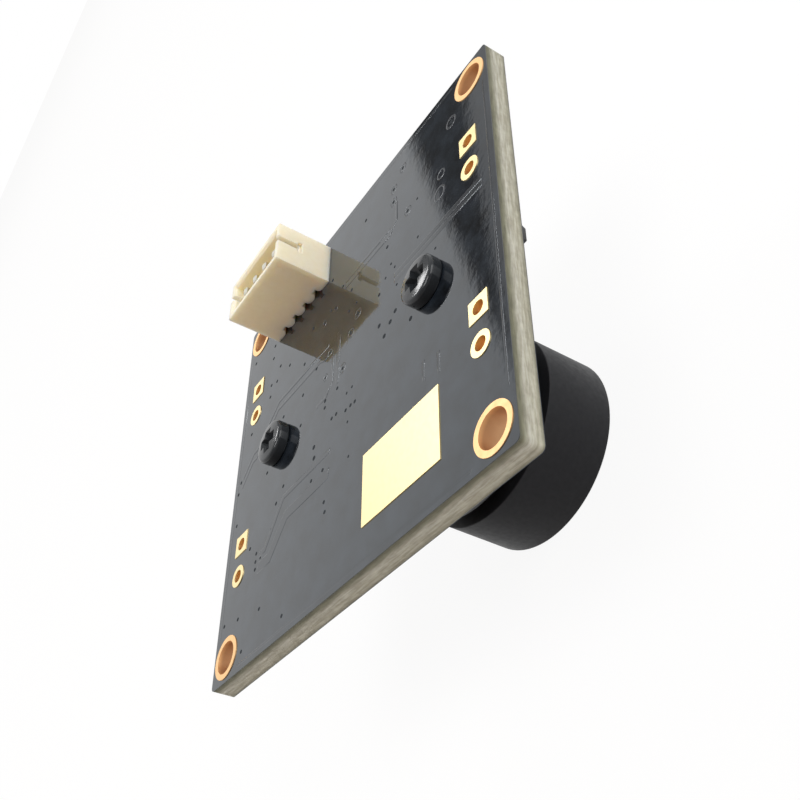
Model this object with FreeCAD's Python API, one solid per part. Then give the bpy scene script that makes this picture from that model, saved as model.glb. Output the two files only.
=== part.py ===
import FreeCAD, Part

import math
import os

V = FreeCAD.Vector

# Camera module: a square circuit board with a screw-in lens on its front and a wire header on its back.
# The origin is the centre of the four mounting holes on the back face of the board.
# +Z points out of the back face, so the lens looks down and the module stands on its lens rim.
# +X runs from the header towards the bare gold pad, +Y runs towards the upper pair of lamp pads.
# All sizes are in millimetres.

# Board
board_side = 31.5
board_thickness = 1.5
board_corner = 0.3
plating = 0.05

# Mounting holes, one in each corner
mount_edge = 1.75
mount_bore = 2.2
mount_ring_width = 0.38

# Pads for two pairs of lamp leads, above and below the lens
lamp_pitch = 2.54
lamp_pair_x = 6.98
lamp_edge = 2.25
lamp_bore = 0.9
lamp_pad = 1.6

# Bare gold pad on the back face
bare_pad_edge = 2.6
bare_pad_y = 6.15
bare_pad_width = 4.9
bare_pad_length = 7.4

# Wire header on the back face
pin_count = 4
pin_pitch = 1.5
contact_shift = 0.25
header_edge = 1.15
header_foot_gap = 5.15
header_end = 1.5
header_depth = 3.6
header_height = 4.3
header_wall = 0.5
header_floor = 1.2
mouth_chamfer = 0.18
key_width = 0.5
key_drop = 1.8
key_foot = 1.0
key_foot_drop = 0.35
notch_height = 0.4
notch_top = 0.48
notch_foot = 1.3
notch_reach = 0.8
tooth_round = 0.22
pin_size = 0.5
pin_short_of_mouth = 0.35
pin_tail = 1.1
pin_point = 0.13
pin_hole = 0.8
solder_foot = 1.35
solder_height = 0.8
solder_skin = 0.04

# Screws that hold the lens holder
holder_screw_pitch = 18.0
screw_diameter = 1.7
screw_length = 4.0
screw_head = 3.2
screw_head_height = 0.98
screw_crown_flat = 2.6
screw_crown_round = 0.34
screw_foot_flat = 2.8
screw_foot_round = 0.28
screw_bevel_swell = 0.05
screw_clearance = 0.1
recess_span = 2.1
recess_width = 0.55
recess_depth = 0.5
recess_foot_span = 1.2
recess_foot_width = 0.36
thread_fit = 0.01

# Lens holder
holder_side = 14.6
holder_corner = 1.2
holder_base_height = 3.5
holder_wall = 1.2
holder_roof = 0.8
holder_tube = 13.4
holder_tube_edge = 0.25
ear_diameter = 4.2
ear_web = 3.4
rib_thickness = 1.2
rib_foot = 2.6
rib_height = 2.4
rib_count = 4
pilot_depth = 3.0
light_window = 7.0

# Lens, measured along its axis from the front face of the board
lens_reach = 14.4
head_length = 5.1
head_diameter = 13.8
head_edge = 0.15
shank_diameter = 11.9
shank_length = 5.1
shank_edge = 0.3
thread_gap = 0.7
barrel_fit = 0.05
glass_fit = 0.04

# Front seat of the lens barrel
hood_mouth = 11.4
hood_depth = 0.45
front_seat = 10.6
front_seat_depth = 2.3
shoulder_bore = 7.2
shoulder_width = 0.5
rear_seat = 9.2

# Glass of the lens, and the rings that hold it
clear_margin = 1.0
dome_clearance = 0.1
front_rim_width = 1.2
front_dome = 0.55
front_hollow = 0.45
front_ring_height = 0.6
middle_rim_width = 1.0
middle_dome = 0.35
spacer_height = 1.6
rear_rim_width = 1.2
rear_dome = 0.4
rear_ring_height = 0.7

# Light filter in the roof of the holder
filter_side = 8.6
filter_thickness = 0.3
filter_sunk = 0.35

# Image sensor
sensor_width = 8.6
sensor_length = 8.2
sensor_height = 0.9
sensor_wall = 0.7
sensor_floor = 0.3
die_margin = 0.35
die_height = 0.3
cover_margin = 0.3
cover_thickness = 0.4

# Bent leads and moulded packages on the front face
lead_shoulder_share = 0.3
lead_heel_share = 0.5
package_slope = 0.1

# Round mould mark near the first corner of a package
mark_diameter = 0.6
mark_depth = 0.06
mark_inset = 0.75

# Processor, a flat square chip with lands under its edges
processor_side = 6.0
processor_height = 0.8
processor_bevel = 0.35
processor_y = -5.6
land_count = 10
land_pitch = 0.5
land_width = 0.25
land_length = 0.45
land_thickness = 0.1
processor_edge_count = 4

# Memory chip with bent leads on two sides
memory_width = 3.9
memory_length = 4.9
memory_height = 1.45
memory_y = 6.4
memory_side_count = 4
memory_lead_pitch = 1.27
memory_lead_width = 0.41
memory_lead_reach = 1.05
memory_lead_thickness = 0.2

# Two voltage regulators
regulator_width = 1.6
regulator_length = 2.9
regulator_height = 1.1
regulator_margin = 5.95
regulator_step = 4.4
regulator_near_count = 3
regulator_far_count = 2
regulator_lead_pitch = 0.95
regulator_lead_width = 0.4
regulator_lead_reach = 0.6
regulator_lead_thickness = 0.15

# Crystal in a ceramic tray with a metal lid
crystal_width = 3.2
crystal_length = 2.5
crystal_base_height = 0.45
crystal_lid_height = 0.3
crystal_lid_margin = 0.2

# Power inductor
inductor_side = 3.0
inductor_height = 1.3
inductor_y = 0.9
inductor_corner = 0.4
inductor_foot_length = 0.8
inductor_foot_thickness = 0.1

# Small diode at the upper edge of the board
diode_x = -0.15
diode_edge_gap = 0.75
diode_width = 1.2
diode_length = 1.7
diode_height = 1.05
diode_lead_width = 0.35
diode_lead_reach = 0.4
diode_lead_thickness = 0.12

# Capacitors and resistors, set in rows
chip_length = 1.6
chip_width = 0.8
capacitor_height = 0.8
resistor_height = 0.45
chip_end = 0.3
chip_end_proud = 0.02
row_gap = 0.55
side_gap = 0.7
strip_row_count = 4
band_row_count = 3

# Worked out from the sizes above
same_level = 1e-6
front_z = -board_thickness
board_half = board_side / 2
holder_half = holder_side / 2
strip_x = (board_half + holder_half) / 2
mount_pitch = board_side - 2 * mount_edge
lamp_row_y = board_half - lamp_edge
bare_pad_x = board_half - bare_pad_edge - bare_pad_width / 2
header_length = pin_pitch * (pin_count - 1) + 2 * header_end
header_x = header_edge + header_depth / 2 - board_half
header_y = header_foot_gap + header_length / 2 - board_half
contact_x = header_x - contact_shift
lens_front_z = front_z - lens_reach
head_rear_z = lens_front_z + head_length
shank_end_z = head_rear_z + shank_length
holder_base_z = front_z - holder_base_height
holder_roof_z = holder_base_z + holder_roof
holder_end_z = head_rear_z + thread_gap
tube_bore = shank_diameter + 2 * barrel_fit
ear_y = holder_screw_pitch / 2
header_pins = [header_y + pin_pitch * (i - (pin_count - 1) / 2) for i in range(pin_count)]
mount_places = [(x * mount_pitch / 2, y * mount_pitch / 2) for x in (-1, 1) for y in (-1, 1)]
lamp_pairs = [(x * lamp_pair_x, y * lamp_row_y) for x in (-1, 1) for y in (-1, 1)]
square_places = [(x - lamp_pitch / 2, y) for x, y in lamp_pairs]
round_places = [(x + lamp_pitch / 2, y) for x, y in lamp_pairs]


def cylinder(diameter, low, high, x=0.0, y=0.0):
    """Upright cylinder between two heights."""
    return Part.makeCylinder(diameter / 2, high - low, V(x, y, low))


def block(width, length, low, high, x=0.0, y=0.0):
    """Box centred on x, y between two heights."""
    corner = V(x - width / 2, y - length / 2, low)
    return Part.makeBox(width, length, high - low, corner)


def upright_edges(shape):
    """Edges of a shape that run along Z."""
    up = V(0, 0, 1)
    return [e for e in shape.Edges if e.tangentAt(e.FirstParameter).cross(up).Length < same_level]


def edges_at(shape, height):
    """Edges of a shape that lie in one level plane."""
    boxes = [(e, e.BoundBox) for e in shape.Edges]
    return [e for e, b in boxes if max(abs(b.ZMin - height), abs(b.ZMax - height)) < same_level]


def rounded_block(width, length, low, high, corner, x=0.0, y=0.0):
    """Box with its four upright edges rounded."""
    solid = block(width, length, low, high, x, y)
    return solid.makeFillet(corner, upright_edges(solid))


def funnel(width, length, low, flare, depth, x, y):
    """Pocket end that widens by flare on each side as it rises through depth."""
    foot = Part.makePolygon(rectangle(width, length, low, x, y))
    top = Part.makePolygon(rectangle(width + 2 * flare, length + 2 * flare, low + depth, x, y))
    return Part.makeLoft([foot, top], True)


def rectangle(width, length, z, x, y):
    """Closed loop of corner points at one height."""
    signs = ((-1, -1), (1, -1), (1, 1), (-1, 1), (-1, -1))
    return [V(x + sx * width / 2, y + sy * length / 2, z) for sx, sy in signs]


def turned(points, x=0.0, y=0.0):
    """Solid of revolution about an upright axis, from (radius, height) points."""
    loop = [V(radius, 0, height) for radius, height in points]
    face = Part.Face(Part.makePolygon(loop + loop[:1]))
    solid = face.revolve(V(0, 0, 0), V(0, 0, 1), 360)
    solid.translate(V(x, y, 0))
    return solid


def cut_all(shape, tools):
    """Shape with every tool taken away in one step."""
    return shape.cut(Part.makeCompound(tools)).removeSplitter()


def save(node, solids):
    """Write one node, which is one solid or a group of like solids."""
    shape = solids if isinstance(solids, Part.Shape) else Part.makeCompound(solids)
    shape.exportStep("parts/" + node + ".step")


# Board and its metal

def circuit_board():
    """Glass-fibre board with a hole for each eyelet, pin and screw."""
    board = rounded_block(board_side, board_side, front_z, 0, board_corner)
    holes = [(mount_bore + 2 * plating, x, y) for x, y in mount_places]
    holes += [(lamp_bore + 2 * plating, x, y) for x, y in square_places + round_places]
    holes += [(pin_hole, contact_x, y) for y in header_pins]
    holes += [(screw_diameter + 2 * screw_clearance, 0, side * ear_y) for side in (-1, 1)]
    return cut_all(board, [cylinder(size, front_z, 0, x, y) for size, x, y in holes])


def eyelet(bore, x, y, pad):
    """Plated hole: a thin sleeve through the board with the same pad on both faces.

    pad is a function that gives the pad's outline between two heights.
    """
    sleeve = cylinder(bore + 2 * plating, front_z, 0, x, y)
    back = pad(0, plating, x, y)
    front = pad(front_z - plating, front_z, x, y)
    whole = sleeve.fuse([back, front]).removeSplitter()
    return whole.cut(cylinder(bore, front_z - plating, plating, x, y))


def mount_ring(low, high, x, y):
    """Round pad of a mounting hole."""
    return cylinder(mount_bore + 2 * mount_ring_width, low, high, x, y)


def square_pad(low, high, x, y):
    """Square lamp pad."""
    return block(lamp_pad, lamp_pad, low, high, x, y)


def round_pad(low, high, x, y):
    """Round lamp pad."""
    return cylinder(lamp_pad, low, high, x, y)


def bare_pad():
    """Flat rectangle of plated copper left clear of the coating."""
    return block(bare_pad_width, bare_pad_length, 0, plating, bare_pad_x, bare_pad_y)


# Wire header

def header_housing():
    """Moulded shroud: open mouth, key slots in its ends, scalloped foot under both long walls."""
    outside = block(header_depth, header_length, 0, header_height, header_x, header_y)
    inner_depth = header_depth - 2 * header_wall
    inner_length = header_length - 2 * header_wall
    pocket = block(inner_depth, inner_length, header_floor, header_height, header_x, header_y)
    lip = header_height - mouth_chamfer
    mouth = funnel(inner_depth, inner_length, lip, mouth_chamfer, mouth_chamfer, header_x, header_y)
    cuts = [pocket, mouth]
    for end in (-1, 1):
        cuts += key_slot(end)
    cuts += [base_notch(side, y) for side in (-1, 1) for y in header_pins]
    holes = [block(pin_size, pin_size, 0, header_floor, contact_x, y) for y in header_pins]
    return cut_all(outside, cuts + holes)


def key_slot(end):
    """Slot down the middle of one end wall, with a wider shallow foot on the outside."""
    wall_y = header_y + end * (header_length - header_wall) / 2
    slot_foot = header_height - key_drop
    slot = block(key_width, header_wall, slot_foot, header_height, contact_x, wall_y)
    skin = header_wall / 2
    skin_y = header_y + end * (header_length - skin) / 2
    low = slot_foot - key_foot_drop / 2
    foot = block(key_foot, skin, low, low + key_foot_drop, contact_x, skin_y)
    return [slot, foot]


def base_notch(side, y):
    """Slot in the foot of a long wall that flares on the board, so that round teeth are left."""
    foot = notch_foot / 2
    top = notch_top / 2
    half_turn = math.atan2(tooth_round, foot - top)
    radius = tooth_round / (1 - math.cos(2 * half_turn))
    wall_x = header_x + side * header_depth / 2

    def at(across, up):
        return V(wall_x, y + across, up)

    def flare(way):
        middle = at(way * (foot - radius * math.sin(half_turn)), radius * (1 - math.cos(half_turn)))
        return Part.Arc(at(way * foot, 0), middle, at(way * top, tooth_round)).toShape()

    slot = [at(-top, tooth_round), at(-top, notch_height), at(top, notch_height), at(top, tooth_round)]
    edges = Part.makePolygon(slot).Edges + [flare(-1), flare(1)]
    edges += Part.makePolygon([at(-foot, 0), at(foot, 0)]).Edges
    face = Part.Face(Part.Wire(Part.__sortEdges__(edges)))
    return face.extrude(V(-side * notch_reach, 0, 0))


def header_contact(y):
    """Square pin with a pointed tip, from inside the shroud to just below the board."""
    top = header_height - pin_short_of_mouth
    bottom = front_z - pin_tail
    pin = block(pin_size, pin_size, bottom, top, contact_x, y)
    pin = pin.makeChamfer(pin_point, edges_at(pin, top))
    return pin.makeChamfer(pin_point, edges_at(pin, bottom))


def solder_joint(y):
    """Solder that fills the hole round a pin and climbs its tail as a cone."""
    tip = front_z - solder_height
    waist = math.hypot(pin_size, pin_size) / 2 + solder_skin
    outline = [(0, 0), (pin_hole / 2, 0), (pin_hole / 2, front_z)]
    outline += [(solder_foot / 2, front_z), (solder_foot / 2, front_z - plating)]
    outline += [(waist, front_z - solder_height / 2), (waist, tip), (0, tip)]
    pin = block(pin_size, pin_size, tip, 0, contact_x, y)
    return turned(outline, contact_x, y).cut(pin)


# Lens holder and its screws

def holder_screw(y):
    """Pan-head screw, driven from the back face, eased at its crown and foot, with a cross recess."""
    radius = screw_head / 2
    shank = screw_diameter / 2
    crown = (screw_crown_flat / 2, screw_head_height)
    crown_side = (radius, screw_head_height - screw_crown_round)
    foot_side = (radius, screw_foot_round)
    foot = (screw_foot_flat / 2, 0)
    swell = screw_bevel_swell
    crown_middle = ((crown[0] + crown_side[0]) / 2 + swell, (crown[1] + crown_side[1]) / 2 + swell)
    foot_middle = ((foot[0] + foot_side[0]) / 2 + swell, (foot[1] + foot_side[1]) / 2 - swell)
    outline = [(0, screw_head_height), crown, crown_middle, crown_side, foot_side, foot_middle, foot]
    outline += [(shank, 0), (shank, -screw_length + shank / 2), (shank / 2, -screw_length), (0, -screw_length)]
    return cut_all(turned(outline, 0, y), [recess_wing(0, y), recess_wing(90, y)])


def recess_wing(turn, y):
    """One of the two crossing slots of the drive, narrowing as it goes down."""
    foot_z = screw_head_height - recess_depth
    foot = Part.makePolygon(rectangle(recess_foot_span, recess_foot_width, foot_z, 0, 0))
    top = Part.makePolygon(rectangle(recess_span, recess_width, screw_head_height, 0, 0))
    wing = Part.makeLoft([foot, top], True)
    wing.rotate(V(0, 0, 0), V(0, 0, 1), turn)
    wing.translate(V(0, y, 0))
    return wing


def holder_rib(turn):
    """Triangular rib that props the tube on a corner of the base."""
    wall_middle = (tube_bore + holder_tube) / 4
    tube_face = holder_tube / 2
    outline = [(wall_middle, holder_base_z), (tube_face + rib_foot, holder_base_z)]
    outline += [(tube_face, holder_base_z - rib_height), (wall_middle, holder_base_z - rib_height)]
    loop = [V(out, -rib_thickness / 2, height) for out, height in outline]
    rib = Part.Face(Part.makePolygon(loop + loop[:1])).extrude(V(0, rib_thickness, 0))
    rib.rotate(V(0, 0, 0), V(0, 0, 1), turn)
    return rib


def lens_holder():
    """Moulded holder: a square hollow base with two ears, a roof with a window, and a ribbed tube."""
    base = rounded_block(holder_side, holder_side, holder_base_z, front_z, holder_corner)
    tube = cylinder(holder_tube, holder_end_z, holder_base_z)
    tube = tube.makeChamfer(holder_tube_edge, edges_at(tube, holder_end_z))
    ears = [cylinder(ear_diameter, holder_base_z, front_z, 0, side * ear_y) for side in (-1, 1)]
    web = block(ear_web, holder_screw_pitch, holder_base_z, front_z)
    quarter = 360 / rib_count
    ribs = [holder_rib(quarter * (i + 0.5)) for i in range(rib_count)]
    body = base.fuse(ears + [web, tube] + ribs).removeSplitter()
    room = holder_side - 2 * holder_wall
    filter_seat = holder_roof_z - filter_sunk
    filter_room = filter_side + 2 * glass_fit
    pilot = screw_diameter + 2 * thread_fit
    cuts = [block(room, room, holder_roof_z, front_z)]
    cuts += [block(filter_room, filter_room, filter_seat, holder_roof_z)]
    cuts += [block(light_window, light_window, holder_base_z, filter_seat)]
    cuts += [cylinder(tube_bore, holder_end_z, holder_base_z)]
    cuts += [cylinder(pilot, front_z - pilot_depth, front_z, 0, side * ear_y) for side in (-1, 1)]
    return cut_all(body, cuts)


def light_filter():
    """Square of coated glass, glued in the roof of the holder over the sensor."""
    seat = holder_roof_z - filter_sunk
    return block(filter_side, filter_side, seat, seat + filter_thickness)


# Lens barrel and what it holds

def lens_barrel():
    """Turned barrel: threaded shank, wide smooth head, a seat at each end and a shoulder between them."""
    head = head_diameter / 2
    shank = shank_diameter / 2
    seat_z = lens_front_z + hood_depth + front_seat_depth
    rear_seat_end = seat_z + shoulder_width
    outline = [(rear_seat / 2, shank_end_z), (shank - shank_edge, shank_end_z)]
    outline += [(shank, shank_end_z - shank_edge), (shank, head_rear_z)]
    outline += [(head - head_edge / 2, head_rear_z), (head, head_rear_z - head_edge / 2)]
    outline += [(head, lens_front_z + head_edge), (head - head_edge, lens_front_z)]
    outline += [(hood_mouth / 2, lens_front_z), (front_seat / 2, lens_front_z + hood_depth)]
    outline += [(front_seat / 2, seat_z), (shoulder_bore / 2, seat_z)]
    outline += [(shoulder_bore / 2, rear_seat_end), (rear_seat / 2, rear_seat_end)]
    return turned(outline)


def lens_glass(diameter, low, rim, lower_bulge, upper_bulge):
    """Round glass with a flat rim and a curved middle on both faces.

    A bulge above zero stands out of the rim, and one below zero is hollow.
    """
    radius = diameter / 2
    clear = radius - clear_margin
    high = low + rim
    lower = dome_arc(clear, low, -lower_bulge)
    upper = dome_arc(clear, high, upper_bulge)
    bottom_pole = V(0, 0, low - lower_bulge)
    top_pole = V(0, 0, high + upper_bulge)
    side = [V(clear, 0, low), V(radius, 0, low), V(radius, 0, high), V(clear, 0, high)]
    edges = [lower, Part.makePolygon(side), upper, Part.makePolygon([top_pole, bottom_pole])]
    outline = Part.Wire(Part.__sortEdges__([e for piece in edges for e in piece.Edges]))
    return Part.Face(outline).revolve(V(0, 0, 0), V(0, 0, 1), 360)


def dome_arc(clear, level, rise):
    """Arc from the middle of a curved face to the edge of its clear width."""
    radius = (clear ** 2 + rise ** 2) / (2 * abs(rise))
    half_turn = math.asin(clear / radius) / 2
    way = 1 if rise > 0 else -1
    mid_height = level + rise - way * radius * (1 - math.cos(half_turn))
    middle = V(radius * math.sin(half_turn), 0, mid_height)
    return Part.Arc(V(0, 0, level + rise), middle, V(clear, 0, level)).toShape()


def ring(outer, low, high):
    """Ring that bears on the flat rim of a glass and stays clear of its curved middle."""
    bore = outer - 2 * (clear_margin - dome_clearance)
    return cylinder(outer, low, high).cut(cylinder(bore, low, high))


front_seat_z = lens_front_z + hood_depth + front_seat_depth
front_glass_z = front_seat_z - front_rim_width
rear_seat_z = front_seat_z + shoulder_width
spacer_z = rear_seat_z + middle_rim_width
rear_glass_z = spacer_z + spacer_height
rear_ring_z = rear_glass_z + rear_rim_width
front_glass_size = front_seat - 2 * glass_fit
rear_glass_size = rear_seat - 2 * glass_fit


# Parts soldered to the front face, modelled standing on z = 0 and then turned over onto the board

def on_front(solid, x, y, turn=0):
    """Turn an upright part over, so that its foot lies on the front face of the board."""
    placed = solid.copy()
    placed.rotate(V(0, 0, 0), V(0, 0, 1), turn)
    placed.rotate(V(0, 0, 0), V(1, 0, 0), 180)
    placed.translate(V(x, y, front_z))
    return placed


def bent_lead(reach, height, thickness, width):
    """Flat lead that leaves a package sideways, bends down and ends in a foot on the board."""
    shoulder = reach * lead_shoulder_share
    heel = reach * lead_heel_share
    underside = height - thickness
    outline = [(0, height), (shoulder, height), (heel, thickness), (reach, thickness), (reach, 0)]
    outline += [(heel - thickness, 0), (shoulder - thickness / 2, underside), (0, underside)]
    loop = [V(out, -width / 2, up) for out, up in outline]
    return Part.Face(Part.makePolygon(loop + loop[:1])).extrude(V(0, width, 0))


def package(width, length, low, high):
    """Moulded package with its upper half drawn in for release from the mould."""
    middle = (low + high) / 2
    inset = 2 * package_slope
    foot = block(width, length, low, middle)
    top = funnel(width - inset, length - inset, -high, package_slope, high - middle, 0, 0)
    top.rotate(V(0, 0, 0), V(1, 0, 0), 180)
    return foot.fuse(top).removeSplitter()


def marked(body, width, length, top):
    """Package with a shallow round mark sunk into its top near the first corner."""
    x = mark_inset - width / 2
    y = mark_inset - length / 2
    return body.cut(cylinder(mark_diameter, top - mark_depth, top, x, y))


def side_leads(pitch, count, body_width, lead):
    """Copies of one lead along the +X side of a package."""
    places = [pitch * (i - (count - 1) / 2) for i in range(count)]
    copies = []
    for along in places:
        copy = lead.copy()
        copy.translate(V(body_width / 2, along, 0))
        copies.append(copy)
    return copies


def mirrored(solids):
    """The same solids turned half round the upright axis."""
    copies = [s.copy() for s in solids]
    for copy in copies:
        copy.rotate(V(0, 0, 0), V(0, 0, 1), 180)
    return copies


def sensor_package():
    """Ceramic tray that holds the sensor die."""
    tray = block(sensor_width, sensor_length, 0, sensor_height)
    inner_width = sensor_width - 2 * sensor_wall
    inner_length = sensor_length - 2 * sensor_wall
    return on_front(tray.cut(block(inner_width, inner_length, sensor_floor, sensor_height)), 0, 0)


def sensor_die():
    """Silicon die on the floor of the tray."""
    width = sensor_width - 2 * (sensor_wall + die_margin)
    length = sensor_length - 2 * (sensor_wall + die_margin)
    return on_front(block(width, length, sensor_floor, sensor_floor + die_height), 0, 0)


def sensor_cover():
    """Cover glass glued on the rim of the tray."""
    width = sensor_width - 2 * cover_margin
    length = sensor_length - 2 * cover_margin
    return on_front(block(width, length, sensor_height, sensor_height + cover_thickness), 0, 0)


def processor_lands():
    """Row of solder lands under each edge of the processor."""
    land = block(land_length, land_width, 0, land_thickness)
    land.translate(V(-land_length / 2, 0, 0))
    row = side_leads(land_pitch, land_count, processor_side, land)
    lands = []
    for edge in range(processor_edge_count):
        lands += [on_front(piece, strip_x, processor_y, edge * 360 / processor_edge_count) for piece in row]
    return lands


def processor_chip():
    """Square moulded package that stands on its lands, with a bevelled and marked first corner."""
    body = block(processor_side, processor_side, land_thickness, processor_height)
    corners = [(e, e.BoundBox.Center) for e in upright_edges(body)]
    body = body.makeChamfer(processor_bevel, [e for e, middle in corners if middle.x < 0 and middle.y < 0])
    return on_front(marked(body, processor_side, processor_side, processor_height), strip_x, processor_y)


def memory_leads():
    """Bent leads on both long sides of the memory chip."""
    lead = bent_lead(memory_lead_reach, memory_height / 2, memory_lead_thickness, memory_lead_width)
    side = side_leads(memory_lead_pitch, memory_side_count, memory_width, lead)
    return [on_front(s, strip_x, memory_y) for s in side + mirrored(side)]


def memory_chip():
    """Moulded package of the memory chip, held off the board by its leads."""
    body = package(memory_width, memory_length, memory_lead_thickness / 2, memory_height)
    return on_front(marked(body, memory_width, memory_length, memory_height), strip_x, memory_y)


regulator_top_y = board_half - regulator_margin
regulator_places = [(-strip_x, regulator_top_y - regulator_step), (-strip_x, regulator_top_y)]


def regulator_leads():
    """Three leads on one side of each regulator and two on the other."""
    height = regulator_height / 2
    lead = bent_lead(regulator_lead_reach, height, regulator_lead_thickness, regulator_lead_width)
    near = side_leads(regulator_lead_pitch, regulator_near_count, regulator_width, lead)
    far = mirrored(side_leads(2 * regulator_lead_pitch, regulator_far_count, regulator_width, lead))
    return [on_front(s, x, y, 90) for x, y in regulator_places for s in near + far]


def regulators():
    """Two small moulded packages."""
    body = package(regulator_width, regulator_length, regulator_lead_thickness / 2, regulator_height)
    return [on_front(body, x, y, 90) for x, y in regulator_places]


ear_side_x = (holder_half + ear_diameter / 2) / 2 + side_gap
band_y = (holder_half + lamp_row_y - lamp_pad / 2) / 2


def crystal_tray():
    """Ceramic tray of the crystal."""
    return on_front(block(crystal_width, crystal_length, 0, crystal_base_height), -ear_side_x, band_y)


def crystal_lid():
    """Metal lid welded on the tray."""
    width = crystal_width - 2 * crystal_lid_margin
    length = crystal_length - 2 * crystal_lid_margin
    top = crystal_base_height + crystal_lid_height
    lid = rounded_block(width, length, crystal_base_height, top, crystal_lid_margin)
    return on_front(lid, -ear_side_x, band_y)


def power_inductor():
    """Shielded inductor with rounded corners, standing on two metal feet."""
    foot = inductor_foot_thickness
    body = rounded_block(inductor_side, inductor_side, foot, inductor_height, inductor_corner)
    return on_front(body, -strip_x, inductor_y)


def inductor_feet():
    """Two flat feet under the inductor."""
    length = inductor_side - 2 * inductor_corner
    x = (inductor_side - inductor_foot_length) / 2
    feet = [block(inductor_foot_length, length, 0, inductor_foot_thickness, side * x) for side in (-1, 1)]
    return [on_front(foot, -strip_x, inductor_y) for foot in feet]


diode_y = board_half - diode_edge_gap - diode_length / 2


def edge_diode():
    """Small moulded package whose side shows past the board's edge in the view from behind."""
    body = package(diode_length, diode_width, diode_lead_thickness / 2, diode_height)
    return on_front(body, diode_x, diode_y, 90)


def diode_leads():
    """One bent lead at each end of the diode."""
    lead = bent_lead(diode_lead_reach, diode_height / 2, diode_lead_thickness, diode_lead_width)
    side = side_leads(0, 1, diode_length, lead)
    return [on_front(s, diode_x, diode_y, 90) for s in side + mirrored(side)]


def row(count, step, x, y, along_x):
    """Places of a row of like parts, centred on x, y."""
    offsets = [step * (i - (count - 1) / 2) for i in range(count)]
    return [(x + o, y, 90) if along_x else (x, y + o, 0) for o in offsets]


chip_step = chip_width + row_gap
processor_top_y = processor_y + processor_side / 2
memory_foot_y = memory_y - memory_length / 2
between_chips_y = (processor_top_y + memory_foot_y) / 2
below_processor_y = processor_y - processor_side / 2 - side_gap - chip_length / 2
header_side_x = (contact_x + solder_foot / 2 - holder_half) / 2

capacitor_places = row(strip_row_count, chip_step, strip_x, between_chips_y, True)
capacitor_places += row(strip_row_count, chip_step, strip_x, below_processor_y, True)
capacitor_places += row(band_row_count, chip_step, ear_side_x, band_y, True)
resistor_places = row(strip_row_count, chip_step, header_side_x, header_y, False)
resistor_places += row(band_row_count, chip_step, ear_side_x, -band_y, True)
resistor_places += row(band_row_count, chip_step, -ear_side_x, -band_y, True)


def chip_body(height):
    """Ceramic middle of a two-ended chip part."""
    proud = 2 * chip_end_proud
    return block(chip_length - 2 * chip_end, chip_width - proud, 0, height - proud)


def chip_ends(height):
    """The two metal ends of a chip part."""
    offset = (chip_length - chip_end) / 2
    return [block(chip_end, chip_width, 0, height, side * offset) for side in (-1, 1)]


def all_placed(solids, places):
    """Every solid of a small part at every place of a list."""
    return [on_front(s, x, y, turn) for x, y, turn in places for s in solids]


os.makedirs("parts", exist_ok=True)

save("circuit_board", circuit_board())
save("mounting_eyelets", [eyelet(mount_bore, x, y, mount_ring) for x, y in mount_places])
save("square_lamp_pads", [eyelet(lamp_bore, x, y, square_pad) for x, y in square_places])
save("round_lamp_pads", [eyelet(lamp_bore, x, y, round_pad) for x, y in round_places])
save("bare_gold_pad", bare_pad())

save("header_housing", header_housing())
save("header_contacts", [header_contact(y) for y in header_pins])
save("header_solder", [solder_joint(y) for y in header_pins])

save("lens_holder", lens_holder())
save("holder_screws", [holder_screw(side * ear_y) for side in (-1, 1)])
save("light_filter", light_filter())

save("lens_barrel", lens_barrel())
save("front_glass", lens_glass(front_glass_size, front_glass_z, front_rim_width, front_dome, -front_hollow))
save("front_ring", ring(front_seat - 2 * thread_fit, front_glass_z - front_ring_height, front_glass_z))
save("middle_glass", lens_glass(rear_glass_size, rear_seat_z, middle_rim_width, -middle_dome, middle_dome))
save("glass_spacer", ring(rear_glass_size, spacer_z, rear_glass_z))
save("rear_glass", lens_glass(rear_glass_size, rear_glass_z, rear_rim_width, rear_dome, rear_dome))
save("rear_ring", ring(rear_seat - 2 * thread_fit, rear_ring_z, rear_ring_z + rear_ring_height))

save("sensor_package", sensor_package())
save("sensor_die", sensor_die())
save("sensor_cover", sensor_cover())

save("processor_chip", processor_chip())
save("processor_lands", processor_lands())
save("memory_chip", memory_chip())
save("memory_leads", memory_leads())
save("regulators", regulators())
save("regulator_leads", regulator_leads())
save("crystal_tray", crystal_tray())
save("crystal_lid", crystal_lid())
save("power_inductor", power_inductor())
save("inductor_feet", inductor_feet())
save("edge_diode", edge_diode())
save("diode_leads", diode_leads())
save("capacitors", all_placed([chip_body(capacitor_height)], capacitor_places))
save("capacitor_ends", all_placed(chip_ends(capacitor_height), capacitor_places))
save("resistors", all_placed([chip_body(resistor_height)], resistor_places))
save("resistor_ends", all_placed(chip_ends(resistor_height), resistor_places))
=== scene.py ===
# %% [markdown]
# # A small board camera, seen from its back
# The module is a square circuit board with a screw-in lens on its front and a wire header on its back.
# Its solids come measured and packed, in metres, and this lesson gives them their looks.
# The board lies flat with its back face at height zero, and the lens looks down at the floor.

# %% Load the measured model
import math
import bpy
from mathutils import Matrix, Quaternion, Vector


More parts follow.
